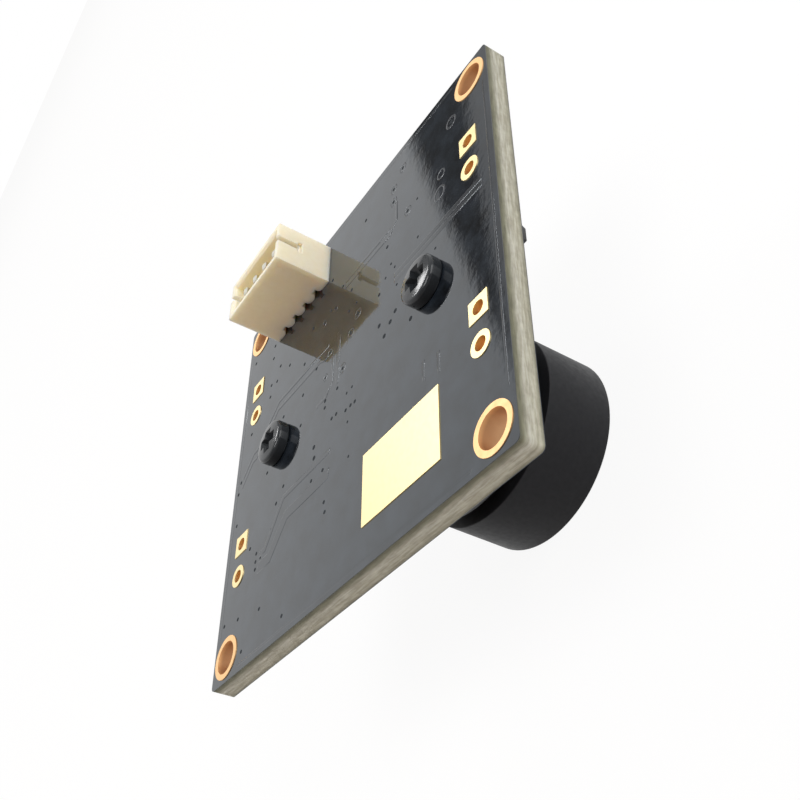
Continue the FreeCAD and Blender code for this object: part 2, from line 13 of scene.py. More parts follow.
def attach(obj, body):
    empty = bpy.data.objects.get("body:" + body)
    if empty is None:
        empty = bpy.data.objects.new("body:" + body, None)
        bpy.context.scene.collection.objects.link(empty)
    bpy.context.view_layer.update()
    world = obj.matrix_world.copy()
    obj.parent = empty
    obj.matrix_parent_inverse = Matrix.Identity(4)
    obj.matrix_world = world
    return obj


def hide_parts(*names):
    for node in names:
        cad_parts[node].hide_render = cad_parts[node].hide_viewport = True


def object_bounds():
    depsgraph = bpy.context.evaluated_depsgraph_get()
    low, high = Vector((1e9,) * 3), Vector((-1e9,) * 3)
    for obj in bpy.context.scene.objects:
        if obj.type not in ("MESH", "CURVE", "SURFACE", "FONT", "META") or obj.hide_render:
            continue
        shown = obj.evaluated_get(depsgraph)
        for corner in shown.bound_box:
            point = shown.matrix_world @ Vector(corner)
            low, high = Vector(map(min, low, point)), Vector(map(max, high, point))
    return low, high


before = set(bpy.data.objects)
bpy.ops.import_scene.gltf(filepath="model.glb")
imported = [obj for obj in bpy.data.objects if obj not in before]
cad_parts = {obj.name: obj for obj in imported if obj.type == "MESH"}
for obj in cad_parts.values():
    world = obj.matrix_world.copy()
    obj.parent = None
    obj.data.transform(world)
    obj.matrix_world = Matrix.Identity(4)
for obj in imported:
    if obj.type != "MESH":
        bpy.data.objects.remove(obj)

cad_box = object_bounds()
print("CAD box", cad_box)

# %% [markdown]
# ## Camera
# The photograph was taken with a phone held close over one corner, so the near corner looks much larger.
# A camera could be aimed by eye, but here its place was worked out from the corners and holes of the board.
# It is rolled, because the board was held up on end, and its near clipping is set for so small an object.

# %% Camera
MM = 0.001
camera_place = Vector((44.10, 42.92, 24.15)) * MM
camera_target = Vector((8.64, 4.51, 0.0)) * MM
camera_roll = math.radians(-68.06)
camera_data = bpy.data.cameras.new("phone_camera")
camera_data.lens = 46.91
camera_data.sensor_width = 36.0
camera_data.shift_x = 0.0209
camera_data.shift_y = 0.0535
camera_data.clip_start = MM
camera = bpy.data.objects.new("phone_camera", camera_data)
bpy.context.scene.collection.objects.link(camera)
camera.location = camera_place
camera.rotation_mode = "QUATERNION"
aim = (camera_target - camera_place).to_track_quat("-Z", "Y")
camera.rotation_quaternion = aim @ Quaternion((0.0, 0.0, 1.0), camera_roll)
bpy.context.scene.camera = camera
bpy.context.scene.view_settings.view_transform = "Standard"
print("camera", [round(c / MM, 2) for c in camera.location], "mm")

# %% [markdown]
# ## Two helpers for materials
# A colour is written as the hex value that a screen shows, and the shader needs it in linear light.
# A node is added by one function, which also sets its values and links whatever sockets it is given.


# %% Colour and node helpers
def linear(code):
    """Linear colour of an sRGB hex value."""
    parts = [int(code[i:i + 2], 16) / 255 for i in (1, 3, 5)]
    return [p / 12.92 if p <= 0.04045 else ((p + 0.055) / 1.055) ** 2.4 for p in parts] + [1.0]


def add(tree, kind, inputs=None, **settings):
    """Adds a node, sets its settings, and sets or links its inputs."""
    node = tree.nodes.new("ShaderNode" + kind)
    for name, value in settings.items():
        setattr(node, name, value)
    for name, value in (inputs or {}).items():
        if isinstance(value, bpy.types.NodeSocket):
            tree.links.new(value, node.inputs[name])
        else:
            node.inputs[name].default_value = value
    return node


def new_material(name, **surface):
    """A material with one Principled shader: returns it, its tree, its shader and its object coordinates."""
    made = bpy.data.materials.new(name)
    made.use_nodes = True
    tree = made.node_tree
    shader = tree.nodes["Principled BSDF"]
    for socket, value in surface.items():
        shader.inputs[socket.replace("_", " ")].default_value = value
    place = add(tree, "TexCoord").outputs["Object"]
    print("material", name)
    return made, tree, shader, place


# %% [markdown]
# ## Sockets of a Mix node
# A Mix node has sockets for numbers, for vectors and for colours, and they go by the same names.
# Only their numbers tell them apart, so the numbers get names here.

# %% Names for the sockets of a Mix node
FACTOR, A_NUMBER, B_NUMBER, A_VECTOR, B_VECTOR, A_COLOUR, B_COLOUR = 0, 2, 3, 4, 5, 6, 7
MIXED_NUMBER, MIXED_VECTOR, MIXED_COLOUR = 0, 1, 2
print("colour sockets of a Mix node", A_COLOUR, B_COLOUR, MIXED_COLOUR)


def blend(tree, share, first, second):
    """The first colour, turning into the second one as the share grows."""
    inputs = {FACTOR: share, A_COLOUR: first, B_COLOUR: second}
    return add(tree, "Mix", inputs, data_type="RGBA").outputs[MIXED_COLOUR]


# %% [markdown]
# ## Solder mask and bare laminate
# The board is glass-fibre laminate under a glossy black solder mask, and its cut edge is left bare.
# The surface normal and the height tell the two apart, so one material follows the board all round.
# The index was matched to how brightly the mask mirrors a white room, and came out above plain epoxy.
# A cool tint on the mirror image takes the warmth out of it.

# %% Tell the mask from the cut edge
mask, tree, shader, place = new_material("black_solder_mask_on_glass_epoxy", IOR=1.70,
                                         Specular_Tint=linear("#F0F8FF"))
axes = add(tree, "SeparateXYZ", {0: place}).outputs
facing = add(tree, "SeparateXYZ", {0: add(tree, "NewGeometry").outputs["True Normal"]}).outputs
flat = add(tree, "Math", {0: facing["Z"]}, operation="ABSOLUTE").outputs[0]
is_face = add(tree, "Math", {0: flat, 1: 0.5}, operation="GREATER_THAN").outputs[0]
mask_line = 0.04 * MM
board_thickness = 1.5 * MM
near_back = add(tree, "Math", {0: axes["Z"], 1: -mask_line}, operation="GREATER_THAN").outputs[0]
near_front = add(tree, "Math", {0: axes["Z"], 1: mask_line - board_thickness}, operation="LESS_THAN")
skin = add(tree, "Math", {0: near_back, 1: near_front.outputs[0]}, operation="MAXIMUM").outputs[0]
masked = add(tree, "Math", {0: is_face, 1: skin}, operation="MAXIMUM").outputs[0]
print("bare edge", round((board_thickness - 2 * mask_line) / MM, 2), "mm high")

# %% [markdown]
# ## Colour of the cut edge
# A cut through the board shows its bundles of glass as pale streaks, with a little dust on them.
# The streaks could be a picture, but a noise drawn out along the edge makes them as well.
# Near each mask the edge is darkened as painted shade, most at the back face, standing in for light that
# enters there and is soaked up by the mask.

# %% Colour of the cut edge
along = add(tree, "Math", {0: axes["X"], 1: axes["Y"]}, operation="ADD").outputs[0]
edge_place = add(tree, "CombineXYZ", {"X": along, "Y": axes["Z"]}).outputs[0]
bundle_length = 1.6
bundle_height = 0.17
stretch = (1 / (bundle_length * MM), 1 / (bundle_height * MM), 0.0)
bundle_place = add(tree, "VectorMath", {0: edge_place, 1: stretch}, operation="MULTIPLY").outputs[0]
bundle_noise = {"Vector": bundle_place, "Scale": 1.0, "Detail": 3.0, "Roughness": 0.6}
bundles = add(tree, "TexNoise", bundle_noise).outputs["Fac"]
bundle_share = add(tree, "MapRange", {"Value": bundles, "From Min": 0.38, "From Max": 0.64}).outputs[0]
bundle_tone = blend(tree, bundle_share, linear("#949181"), linear("#B3B2A5"))
# Painted shade by height in the board: darker towards each masked face, most at the back face.
depth_range = {"Value": axes["Z"], "From Min": 0.0, "From Max": -board_thickness}
painted_depth_shade = add(tree, "ValToRGB", {0: add(tree, "MapRange", depth_range).outputs[0]})
ramp = painted_depth_shade.color_ramp
for position, tone in ((0.18, "#A5A48E"), (0.42, "#FFFFFF"), (0.80, "#F4F3EC")):
    ramp.elements.new(position).color = linear(tone)
ramp.elements[0].color = linear("#6F6F58")
ramp.elements[-1].color = linear("#A7A595")
specks_per_mm = 2.5
dust_noise = {"Vector": place, "Scale": specks_per_mm / MM, "Detail": 6.0, "Roughness": 0.65}
dust = add(tree, "TexNoise", dust_noise).outputs["Fac"]
dust_range = {"Value": dust, "From Min": 0.3, "From Max": 0.7, "To Min": 0.84, "To Max": 1.08}
dust_tone = add(tree, "MapRange", dust_range).outputs[0]
dusty = add(tree, "VectorMath", {0: bundle_tone, 1: dust_tone}, operation="MULTIPLY").outputs[0]
edge_colour = add(tree, "VectorMath", {0: dusty, 1: painted_depth_shade.outputs["Color"]}, operation="MULTIPLY").outputs[0]
print("bundles of glass", bundle_length, "by", bundle_height, "mm")

# %% [markdown]
# ## Colour and gloss of the mask
# The mask is a printed and cured epoxy, flat as poured paint, so it mirrors its surroundings at a low angle.
# A printed coat is never quite even, so one slow noise mottles its black, and its gloss drifts with it.

# %% Colour and gloss of the mask
clouds_per_mm = 0.6
cloud_noise = {"Vector": place, "Scale": clouds_per_mm / MM, "Detail": 6.0, "Roughness": 0.65}
cloud = add(tree, "TexNoise", cloud_noise).outputs["Fac"]
mottle = add(tree, "MapRange", {"Value": cloud, "From Min": 0.35, "From Max": 0.65}).outputs[0]
mask_colour = blend(tree, mottle, linear("#0A0C0F"), linear("#20262D"))
colour = blend(tree, masked, edge_colour, mask_colour)
gloss_range = {"Value": cloud, "From Min": 0.3, "From Max": 0.7, "To Min": 0.03, "To Max": 0.06}
mask_rough = add(tree, "MapRange", gloss_range).outputs[0]
edge_rough = 0.8
rough = add(tree, "Mix", {FACTOR: masked, A_NUMBER: edge_rough, B_NUMBER: mask_rough}).outputs[MIXED_NUMBER]
tree.links.new(colour, shader.inputs["Base Color"])
tree.links.new(rough, shader.inputs["Roughness"])
print("mottling about", round(1 / clouds_per_mm, 1), "mm wide")

# %% [markdown]
# ## Relief of the board
# The mask follows the weave under it in a slow ripple, and it has fine pores.
# Both are noises in the normal, and the pores are a third of a millimetre wide.
# The cut edge is rough from the tool, so its relief is much deeper.

# %% Relief of the board
ripples_per_mm, pores_per_mm, pore_share = 0.8, 3, 0.6
mask_relief, cut_relief = 0.0025 * MM, 0.03 * MM
ripple = add(tree, "TexNoise", {"Vector": place, "Scale": ripples_per_mm / MM, "Detail": 2.0}).outputs["Fac"]
pores = add(tree, "TexNoise", {"Vector": place, "Scale": pores_per_mm / MM, "Detail": 3.0}).outputs["Fac"]
uneven = add(tree, "Math", {0: pores, 1: pore_share, 2: ripple}, operation="MULTIPLY_ADD").outputs[0]
mask_bump = add(tree, "Bump", {"Strength": 1.0, "Distance": mask_relief, "Height": uneven}).outputs[0]
cut_bump = add(tree, "Bump", {"Strength": 1.0, "Distance": cut_relief, "Height": dust}).outputs[0]
board_bumps = {FACTOR: masked, A_VECTOR: cut_bump, B_VECTOR: mask_bump}
relief = add(tree, "Mix", board_bumps, data_type="VECTOR").outputs[MIXED_VECTOR]
tree.links.new(relief, shader.inputs["Normal"])
print("relief of the mask", mask_relief / MM, "mm")

# %% [markdown]
# ## Mask over copper
# Copper lines under the mask stand up by the thickness of the foil, and the mask flows down at their sides.
# It has the colour of the board, but the roughened copper under it takes a little of its gloss.

# %% Mask over raised copper
raised_mask, tree, shader, place = new_material("black_solder_mask_over_copper", IOR=1.70,
                                                Specular_Tint=linear("#F0F8FF"))
clouds_per_mm = 0.5
cloud = add(tree, "TexNoise", {"Vector": place, "Scale": clouds_per_mm / MM, "Detail": 4.0}).outputs["Fac"]
tone = blend(tree, cloud, linear("#111418"), linear("#1A1D22"))
tree.links.new(tone, shader.inputs["Base Color"])
gloss_range = {"Value": cloud, "From Min": 0.3, "From Max": 0.7, "To Min": 0.09, "To Max": 0.15}
tree.links.new(add(tree, "MapRange", gloss_range).outputs[0], shader.inputs["Roughness"])

# %% [markdown]
# ## Painted shade at the open end of a small plated hole
# Hardly any light comes back out of so narrow a hole, so its end shows as a dark dot.
# It could be cut through the board, but a thin dull disc over each place paints this shade instead.
# It has no gloss at all, or it would mirror the white room as the mask does.

# %% Painted shade at the open end of a small plated hole
via_bore_shade, tree, shader, place = new_material("painted_shade_in_a_via_bore", Specular_IOR_Level=0.0, Roughness=1.0)
grains_per_mm = 6
cloud = add(tree, "TexNoise", {"Vector": place, "Scale": grains_per_mm / MM}).outputs["Fac"]
tone = blend(tree, cloud, linear("#303336"), linear("#464A4E"))
tree.links.new(tone, shader.inputs["Base Color"])

# %% [markdown]
# ## One way to work a surface
# No made surface is quite even: its tone and gloss drift over several grains, and it has a fine relief.
# Metals and solid finishes differ only in numbers there, so one function serves both.


# %% Grained surfaces
def grained(name, light, dark, smooth, rough, grain_mm, height_mm, drift=0.15, detail=4.0, **surface):
    """A finish whose tone and roughness drift over several grains, with the grain in its relief."""
    made, tree, shader, place = new_material(name, **surface)
    drift_noise = {"Vector": place, "Scale": drift / (grain_mm * MM), "Detail": 5.0}
    drifting = add(tree, "TexNoise", drift_noise).outputs["Fac"]
    grain_noise = {"Vector": place, "Scale": 1 / (grain_mm * MM), "Detail": detail}
    grain = add(tree, "TexNoise", grain_noise).outputs["Fac"]
    tone = blend(tree, drifting, linear(light), linear(dark))
    gloss_range = {"Value": drifting, "From Min": 0.3, "From Max": 0.7, "To Min": smooth, "To Max": rough}
    gloss = add(tree, "MapRange", gloss_range).outputs[0]
    relief = add(tree, "Bump", {"Strength": 1.0, "Distance": height_mm * MM, "Height": grain}).outputs[0]
    tree.links.new(tone, shader.inputs["Base Color"])
    tree.links.new(gloss, shader.inputs["Roughness"])
    tree.links.new(relief, shader.inputs["Normal"])
    return made


# %% [markdown]
# ## Metals
# Gold on the pads is a thin immersion layer over nickel: pale, a little grainy and softly shiny.
# The eyelets carry the same gold on a rougher wall of plated copper, so theirs is redder and duller.
# Tin on pins and leads is whiter, and solder is the smoothest, because it froze from a liquid.


# %% Metals
def metal(name, light, dark, smooth, rough, grain_mm, height_mm):
    """A grained metal."""
    return grained(name, light, dark, smooth, rough, grain_mm, height_mm, drift=0.2, detail=3.0, Metallic=1.0)


gold = metal("immersion_gold_over_nickel", "#FFECB6", "#FBE1A6", 0.34, 0.42, 0.08, 0.0006)
eyelet_gold = metal("immersion_gold_on_plated_eyelets", "#F8D09C", "#EDC08A", 0.50, 0.58, 0.08, 0.0008)
tin = metal("matte_electroplated_tin", "#D8D8D4", "#B4B3AE", 0.28, 0.42, 0.05, 0.0015)
pin_tin = metal("bright_tin_on_brass_pins", "#E6E4DC", "#C9C5B8", 0.16, 0.26, 0.10, 0.0010)
solder = metal("frozen_bright_solder", "#D2D3D3", "#A9AAAB", 0.10, 0.22, 0.25, 0.0040)
lid_metal = metal("drawn_nickel_alloy_lid", "#C4C2BB", "#A5A39B", 0.26, 0.36, 0.06, 0.0012)

# %% [markdown]
# ## Walls of the plated holes
# Down in a hole the gold is thin, so the walls take the tone of the copper under it, darkened as painted
# shade for the dim inside of the hole, where the light has bounced from wall to wall.
# The walls are the faces whose normal lies level and that lie between the faces of the board,
# so the same gold can tell them from the rings round them.

# %% Copper tone and painted shade for level normals
level_normal, upright_normal = 0.2, 0.8
all_deep, not_deep = 0.50 * MM, 0.76 * MM
for finish, wall_tone_with_shade in ((gold, "#F6CD98"), (eyelet_gold, "#CBA078")):
    tree = finish.node_tree
    shader = tree.nodes["Principled BSDF"]
    top_tone = shader.inputs["Base Color"].links[0].from_socket
    facing = add(tree, "SeparateXYZ", {0: add(tree, "NewGeometry").outputs["True Normal"]}).outputs["Z"]
    flat = add(tree, "Math", {0: facing}, operation="ABSOLUTE").outputs[0]
    wall_range = {"Value": flat, "From Min": upright_normal, "From Max": level_normal}
    is_wall = add(tree, "MapRange", wall_range).outputs[0]
    height = add(tree, "SeparateXYZ", {0: add(tree, "TexCoord").outputs["Object"]}).outputs["Z"]
    from_middle = add(tree, "Math", {0: height, 1: board_thickness / 2}, operation="ADD").outputs[0]
    from_middle = add(tree, "Math", {0: from_middle}, operation="ABSOLUTE").outputs[0]
    deep_range = {"Value": from_middle, "From Min": not_deep, "From Max": all_deep}
    deep_in_hole = add(tree, "MapRange", deep_range).outputs[0]
    share = add(tree, "Math", {0: is_wall, 1: deep_in_hole}, operation="MULTIPLY").outputs[0]
    # Deep walls get the copper tone, darkened as painted shade of the hole.
    tone = blend(tree, share, top_tone, linear(wall_tone_with_shade))
    tree.links.new(tone, shader.inputs["Base Color"])
    print("copper walls in", finish.name)

# %% [markdown]
# ## Moulded plastics, ceramics and coatings
# Nylon left in its natural colour is cream, and light soaks a little way into its thin walls.
# It scatters so much light that the mirror image on it is faint, so its specular level is lowered.
# The black parts differ mainly in gloss: filled plastic and epoxy are dull from the texture of the mould,
# while the plated screws are nearly as shiny as lacquer.

# %% Moulded plastics, ceramics and coatings
nylon = grained("moulded_natural_nylon", "#EEE5CF", "#E6DBC1", 0.38, 0.50, 0.06, 0.0015, IOR=1.53,
                Subsurface_Weight=0.85, Subsurface_Radius=(1.0, 0.80, 0.55), Subsurface_Scale=1.3 * MM,
                Specular_IOR_Level=0.3)
holder_plastic = grained("moulded_glass_filled_black_plastic", "#1A1B1C", "#101112", 0.42, 0.60, 0.09, 0.004,
                         IOR=1.55)
screw_black = grained("black_plated_steel", "#282B2E", "#202326", 0.10, 0.18, 0.12, 0.001, IOR=1.38)
anodised = grained("satin_black_anodised_aluminium", "#232427", "#1B1C1F", 0.42, 0.52, 0.05, 0.0010, IOR=1.4,
                   Specular_IOR_Level=0.25)
matt_ring = grained("matt_black_anodised_ring", "#0F1011", "#08090A", 0.55, 0.7, 0.05, 0.0015, IOR=1.5)
epoxy = grained("moulded_black_epoxy", "#1D1E1F", "#141516", 0.50, 0.66, 0.05, 0.0030, IOR=1.55)
ceramic = grained("fired_dark_ceramic", "#2B2A2C", "#1E1D1F", 0.45, 0.6, 0.06, 0.0020, IOR=1.7)
ferrite = grained("sintered_ferrite", "#3A3A3B", "#232324", 0.40, 0.65, 0.07, 0.0040, IOR=1.9)
capacitor_body = grained("fired_capacitor_ceramic", "#9C7A58", "#83623F", 0.35, 0.5, 0.05, 0.0015, IOR=1.8)
resistor_body = grained("glazed_resistor", "#1B1C20", "#0D0E10", 0.15, 0.3, 0.12, 0.0010, IOR=1.6)
silicon = grained("polished_silicon_with_colour_filter", "#3A2C42", "#241C33", 0.10, 0.18, 0.02, 0.0006,
                  IOR=3.0, Thin_Film_Thickness=420.0, Thin_Film_IOR=1.45)

# %% [markdown]
# ## Coated glass
# The lens elements and the filter are clear glass whose coating tints what they mirror.
# A thin film on the glass shader gives that tint from a real thickness in nanometres.


# %% Coated glass
def coated_glass(name, film_nm, tint):
    """Clear glass under a coating of that thickness, with faint wipe marks."""
    made, tree, shader, place = new_material(
        name, Transmission_Weight=1.0, IOR=1.52, Thin_Film_Thickness=film_nm, Thin_Film_IOR=1.38)
    shader.inputs["Base Color"].default_value = linear(tint)
    wipes_per_mm = 0.4
    haze = add(tree, "TexNoise", {"Vector": place, "Scale": wipes_per_mm / MM, "Detail": 3.0}).outputs["Fac"]
    haze_range = {"Value": haze, "From Min": 0.4, "From Max": 0.8, "To Min": 0.0, "To Max": 0.04}
    tree.links.new(add(tree, "MapRange", haze_range).outputs[0], shader.inputs["Roughness"])
    return made


lens_glass = coated_glass("coated_lens_glass", 320.0, "#F4FAFF")
filter_glass = coated_glass("coated_filter_glass", 480.0, "#DDF3F2")
cover_glass = coated_glass("sensor_cover_glass", 260.0, "#F8FCFF")

# %% [markdown]
# ## A finish for every CAD node
# Each node of the model holds pieces of one kind, so a table from finish to nodes says it once.
# The softened pieces further down look their finish up in it as well.

# %% Give every CAD node its finish
finishes = {
    mask: ["circuit_board"],
    gold: ["square_lamp_pads", "round_lamp_pads", "bare_gold_pad"], eyelet_gold: ["mounting_eyelets"],
    nylon: ["header_housing"], pin_tin: ["header_contacts"], solder: ["header_solder"],
    holder_plastic: ["lens_holder"], screw_black: ["holder_screws"], filter_glass: ["light_filter"],
    anodised: ["lens_barrel"], lens_glass: ["front_glass", "middle_glass", "rear_glass"],
    matt_ring: ["front_ring", "glass_spacer", "rear_ring"], ceramic: ["sensor_package", "crystal_tray"],
    silicon: ["sensor_die"], cover_glass: ["sensor_cover"],
    epoxy: ["processor_chip", "memory_chip", "regulators", "edge_diode"],
    tin: ["processor_lands", "memory_leads", "regulator_leads", "inductor_feet", "diode_leads",
          "capacitor_ends", "resistor_ends"],
    lid_metal: ["crystal_lid"], ferrite: ["power_inductor"], capacitor_body: ["capacitors"],
    resistor_body: ["resistors"],
}
finish_of = {name: finish for finish, names in finishes.items() for name in names}
for name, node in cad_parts.items():
    for slot in node.material_slots:
        slot.material = finish_of[name]
print("finished nodes", len(finish_of), "of", len(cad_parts))

# %% [markdown]
# ## Working in millimetres
# Blender's modelling tools have small fixed tolerances, which matter on an object a few millimetres tall.
# So each new piece is modelled with one unit for a millimetre, and shrunk to metres when it is finished.


# %% Finishing a piece
def only(piece):
    """Leaves one object selected and active, in object mode."""
    if bpy.context.object and bpy.context.object.mode != "OBJECT":
        bpy.ops.object.mode_set(mode="OBJECT")
    bpy.ops.object.select_all(action="DESELECT")
    if piece:
        piece.select_set(True)
        bpy.context.view_layer.objects.active = piece


def pick(piece, parts, wanted):
    """Goes to edit mode with only those of its polygons or vertices selected that are wanted."""
    only(piece)
    bpy.ops.object.mode_set(mode="EDIT")
    bpy.ops.mesh.select_mode(type={"polygons": "FACE", "vertices": "VERT"}[parts])
    bpy.ops.mesh.select_all(action="DESELECT")
    bpy.ops.object.mode_set(mode="OBJECT")
    for part in getattr(piece.data, parts):
        part.select = wanted(part)
    bpy.ops.object.mode_set(mode="EDIT")


def apply_modifier(piece, name, kind, **settings):
    """Adds a modifier and applies it at once."""
    only(piece)
    modifier = piece.modifiers.new(name, kind)
    for setting, value in settings.items():
        setattr(modifier, setting, value)
    bpy.ops.object.modifier_apply(modifier=modifier.name)


def start_mesh(name):
    """A mesh object without a single point yet, in edit mode."""
    only(None)
    bpy.ops.mesh.primitive_plane_add(size=1)
    piece = bpy.context.object
    piece.name = name
    bpy.ops.object.mode_set(mode="EDIT")
    bpy.ops.mesh.select_mode(type="VERT")
    bpy.ops.mesh.select_all(action="SELECT")
    bpy.ops.mesh.delete(type="VERT")
    return piece


def start_line(place):
    """Adds the first point of a line: a tiny plane merged to its middle, as no operator adds a bare point."""
    bpy.ops.mesh.select_all(action="DESELECT")
    bpy.ops.mesh.primitive_plane_add(size=0.01, location=place)
    bpy.ops.mesh.merge(type="CENTER")


def draw_on(x, y, z):
    """Extrudes the selected point by that step, and leaves the new one selected."""
    bpy.ops.mesh.extrude_vertices_move(TRANSFORM_OT_translate={"value": (x, y, z)})


def settle(piece, finish, smooth_under):
    """Shrinks a finished piece to metres, smooths it, and gives it finish, slot and body."""
    only(piece)
    bpy.ops.object.mode_set(mode="EDIT")
    bpy.ops.mesh.select_all(action="SELECT")
    bpy.ops.mesh.normals_make_consistent(inside=False)
    bpy.ops.object.mode_set(mode="OBJECT")
    piece.data.transform(Matrix.Scale(MM, 4))
    piece.data.materials.clear()
    piece.data.materials.append(finish)
    bpy.ops.object.shade_smooth_by_angle(angle=math.radians(smooth_under))
    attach(piece, "root")
    print("piece", piece.name, len(piece.data.polygons), "faces")


# %% [markdown]
# ## Softened edges
# A mould, a press or a grinding wheel never leaves a knife edge, and a bright line along each edge shows it.
# The CAD solids have sharp edges, so these pieces are copies of them with their flat faces made whole,
# and every sharp edge gets a small bevel. A bevel in the material alone would not change the outline.
# Clamping keeps a bevel from running into itself, but one short edge shrinks it on the whole piece.
# On the lens holder that would leave nothing of it, so it is off there.


# %% Softening a CAD node
same_place, same_plane, sharp_from = 0.001, 0.5, 40


def fresh_copy(node_name, name):
    """A copy of a CAD node's mesh in millimetres, in one piece and free of needless edges."""
    piece = bpy.data.objects.new(name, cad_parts[node_name].data.copy())
    bpy.context.scene.collection.objects.link(piece)
    piece.data.transform(Matrix.Scale(1 / MM, 4))
    only(piece)
    bpy.ops.mesh.customdata_custom_splitnormals_clear()
    bpy.ops.object.mode_set(mode="EDIT")
    bpy.ops.mesh.select_all(action="SELECT")
    bpy.ops.mesh.remove_doubles(threshold=same_place)
    bpy.ops.mesh.mark_sharp(clear=True)
    bpy.ops.mesh.dissolve_limited(angle_limit=math.radians(same_plane))
    bpy.ops.object.mode_set(mode="OBJECT")
    return piece


def softened(node_name, radius, clamp=True):
    """Stands for a CAD node, with a small bevel on every sharp edge."""
    piece = fresh_copy(node_name, node_name + "_softened")
    apply_modifier(piece, "worn edge", "BEVEL", width=radius, segments=3, limit_method="ANGLE",
                   angle_limit=math.radians(sharp_from), use_clamp_overlap=clamp)
    settle(piece, finish_of[node_name], smooth_under=sharp_from)
    apply_modifier(piece, "flat faces", "WEIGHTED_NORMAL", keep_sharp=True)
    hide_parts(node_name)


# %% Pieces with softened edges
softened("header_housing", radius=0.07)
softened("lens_holder", radius=0.10, clamp=False)
softened("power_inductor", radius=0.10)
softened("crystal_lid", radius=0.08)
for name in ("processor_chip", "memory_chip", "regulators", "edge_diode"):
    softened(name, radius=0.025)
softened("capacitors", radius=0.03)
softened("resistors", radius=0.03)
for name in ("capacitor_ends", "resistor_ends"):
    softened(name, radius=0.03)

# %% [markdown]
# ## Turned pieces
# A lathe makes a part by running an outline round its axis, and Spin does the same with a line of points.
# The outline shows the maker's own steps, such as the thread, which rings scaled on a cylinder would hide.


# %% Turning an outline
def turned(name, outline, steps):
    """Spins an outline of (radius, height) in mm round the upright axis."""
    piece = start_mesh(name)
    start_line((outline[0][0], 0, outline[0][1]))
    for (r0, z0), (r1, z1) in zip(outline, outline[1:]):
        draw_on(r1 - r0, 0, z1 - z0)
    bpy.ops.mesh.select_all(action="SELECT")
    bpy.ops.mesh.spin(steps=steps, angle=math.tau, center=(0, 0, 0), axis=(0, 0, 1))
    bpy.ops.mesh.select_all(action="SELECT")
    bpy.ops.mesh.remove_doubles(threshold=0.5 * same_place)
    bpy.ops.mesh.normals_make_consistent(inside=False)
    bpy.ops.object.mode_set(mode="OBJECT")
    return piece


def corner(middle, radius, start, end, count=5):
    """Points of a rounded corner between two angles in degrees."""
    angles = [math.radians(start + (end - start) * i / (count - 1)) for i in range(count)]
    return [(middle[0] + radius * math.cos(a), middle[1] + radius * math.sin(a)) for a in angles]


def thread(crest, root, top, bottom, pitch):
    """Crests and roots of a thread, as grooves, from the top down."""
    count = round((top - bottom) / pitch)
    crest_end, root_start, root_end = 0.15, 0.5, 0.62
    flanks = [(0.0, crest), (crest_end, crest), (root_start, root), (root_end, root)]
    return [(r, top - (i + share) * pitch) for i in range(count) for share, r in flanks]


# %% [markdown]
# ## Lens barrel
# The barrel is turned from an aluminium bar and has a fine thread of half a millimetre pitch on its shank.
# Grooves look the same as a true helix at this size, and they keep the outline a closed turned shape.

# %% Lens barrel with its thread
head_radius, shank_radius, hood_radius, seat_radius = 6.9, 5.95, 5.7, 5.3
shoulder_radius, rear_radius = 3.6, 4.6
front_z, head_z, rear_z = -15.9, -10.8, -5.7
hood_z, seat_z, shoulder_z = -15.45, -13.15, -12.65
shank_edge, thread_depth, thread_relief, thread_pitch = 0.3, 0.28, 0.8, 0.5
rear_round, front_round, hood_round = 0.08, 0.15, 0.04
root_radius = shank_radius - thread_depth
thread_end = head_z + thread_relief
barrel_outline = [(rear_radius, rear_z), (shank_radius - shank_edge, rear_z)]
barrel_outline += thread(shank_radius, root_radius, rear_z - shank_edge, thread_end, thread_pitch)
barrel_outline += [(root_radius, thread_end), (root_radius, head_z)]
barrel_outline += corner((head_radius - rear_round, head_z - rear_round), rear_round, 90, 0)
barrel_outline += corner((head_radius - front_round, front_z + front_round), front_round, 0, -90)
barrel_outline += corner((hood_radius + hood_round, front_z + hood_round), hood_round, -90, -180, 3)
anti_glare_steps = 3
step_height = (hood_z - front_z) / anti_glare_steps
step_width = (hood_radius - seat_radius) / anti_glare_steps
for i in range(anti_glare_steps):
    radius = hood_radius - i * step_width
    height = front_z + (i + 1) * step_height
    barrel_outline += [(radius, height), (radius - step_width, height)]
barrel_outline += [(seat_radius, seat_z), (shoulder_radius, seat_z), (shoulder_radius, shoulder_z),
                   (rear_radius, shoulder_z), (rear_radius, rear_z)]
barrel = turned("lens_barrel_turned", barrel_outline, 128)
settle(barrel, anodised, smooth_under=35)
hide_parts("lens_barrel")

# %% [markdown]
# ## Holder screws
# These screws are headed cold from wire: a low head with a slight dome, a rounded rim and a rounded foot.
# The outline follows the head down from its top, and then the thread to the tip.

# %% Body of one holder screw
head_top, crown_radius = 0.98, 7.5
rim_middle, rim_round = (1.36, 0.62), 0.24
foot_middle, foot_round = (1.45, 0.15), 0.15
screw_radius, screw_root, tip_radius = 0.85, 0.66, 0.3
grip_end, taper_start, screw_end, screw_thread_pitch = -0.9, -3.3, -4.0, 0.4
screw_outline = corner((0.0, head_top - crown_radius), crown_radius, 90, 80, 7)
screw_outline += corner(rim_middle, rim_round, 75, 0, 6) + corner(foot_middle, foot_round, 0, -90, 6)
screw_outline += [(screw_radius, 0.0), (screw_radius, grip_end)]
screw_outline += thread(screw_radius, screw_root, grip_end, taper_start, screw_thread_pitch)
screw_outline += [(screw_root, taper_start), (tip_radius, screw_end), (0.0, screw_end)]
screw = turned("holder_screws_turned", screw_outline, 64)
print("screw", round(head_top - screw_end, 2), "mm long with its head")

# %% [markdown]
# ## Cross recess
# A punch with tapered wings leaves the cross in the head, so two tapered bars are cut out of it by Boolean.
# The cuts leave a few slivers where they meet the dome, and points that almost touch are merged there.

